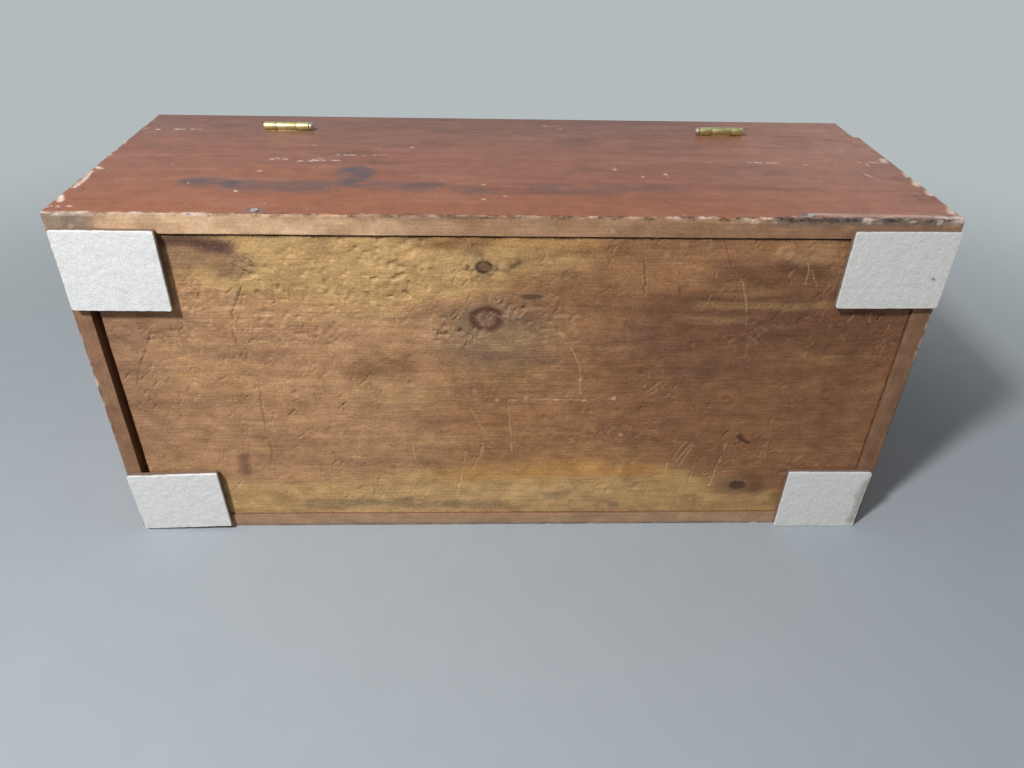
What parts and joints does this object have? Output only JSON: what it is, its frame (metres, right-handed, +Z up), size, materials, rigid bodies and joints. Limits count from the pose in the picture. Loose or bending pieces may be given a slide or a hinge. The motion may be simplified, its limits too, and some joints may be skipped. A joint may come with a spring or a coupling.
{
  "type": "tool chest",
  "caption": "Small dovetailed wooden carpenter's tool chest with a hinged box lid, a lock, end handles, a sliding till and felt pads under its corners.",
  "frame": {"origin": "middle of the base, on the underside of the felt pads", "axes": "+Z up, the front with the keyhole faces -Y, the length runs along X"},
  "size_m": [0.6472, 0.2877, 0.2316],
  "materials": {
    "mahogany": "old satin varnish, worn",
    "pine": "bare, darkened with age",
    "till_pine": "bare, planed",
    "oak": "bare, planed",
    "felt": "pressed wool felt",
    "brass": "polished",
    "steel": "bright drawn",
    "nail_iron": "cut, oxidised",
    "iron": "black japanned, worn"
  },
  "bodies": {
    "case": {"front_board": "mahogany", "back_board": "mahogany", "left_end_board": "mahogany", "right_end_board": "mahogany", "bottom_board": "pine", "bottom_nails": "nail_iron", "felt_pad_front_left": "felt", "felt_pad_front_right": "felt", "felt_pad_back_left": "felt", "felt_pad_back_right": "felt", "left_till_runner": "oak", "right_till_runner": "oak", "till_runner_screws": "steel", "left_hinge_case_leaf": "brass", "right_hinge_case_leaf": "brass", "left_hinge_pin": "steel", "right_hinge_pin": "steel", "case_hinge_screws": "brass", "lock_plate": "brass", "lock_cap": "brass", "lock_screws": "brass", "key_escutcheon": "brass", "escutcheon_pins": "brass", "left_handle_plate": "iron", "right_handle_plate": "iron", "handle_screws": "iron"},
    "lid": {"lid_top": "mahogany", "lid_front_rim": "mahogany", "lid_back_rim": "mahogany", "lid_left_rim": "mahogany", "lid_right_rim": "mahogany", "lid_top_nails": "nail_iron", "left_hinge_lid_leaf": "brass", "right_hinge_lid_leaf": "brass", "lid_hinge_screws": "brass", "lock_strike": "brass", "lock_strike_screws": "brass"},
    "till": {"till_front": "till_pine", "till_back": "till_pine", "till_left_end": "till_pine", "till_right_end": "till_pine", "till_bottom": "till_pine", "till_left_divider": "till_pine", "till_right_divider": "till_pine", "till_nails": "nail_iron"},
    "bolt": {"lock_bolt": "brass"},
    "left_bail": {"left_handle_bail": "iron"},
    "right_bail": {"right_handle_bail": "iron"}
  },
  "joints": [
    {"name": "lid_hinge", "type": "hinge", "parent": "case", "child": "lid", "pos_m": [0, 0.143, 0.1883], "axis": [-1, 0, 0], "range_deg": [0, 180]},
    {"name": "till_slide", "type": "slide", "parent": "case", "child": "till", "axis": [0, -1, 0], "range_m": [0, 0.1305]},
    {"name": "bolt_slide", "type": "slide", "parent": "case", "child": "bolt", "axis": [1, 0, 0], "range_m": [0, 0.006]},
    {"name": "left_bail_hinge", "type": "hinge", "parent": "case", "child": "left_bail", "pos_m": [-0.3166, 0, 0.123], "axis": [0, 1, 0], "range_deg": [0, 90]},
    {"name": "right_bail_hinge", "type": "hinge", "parent": "case", "child": "right_bail", "pos_m": [0.3166, 0, 0.123], "axis": [0, -1, 0], "range_deg": [0, 90]}
  ]
}
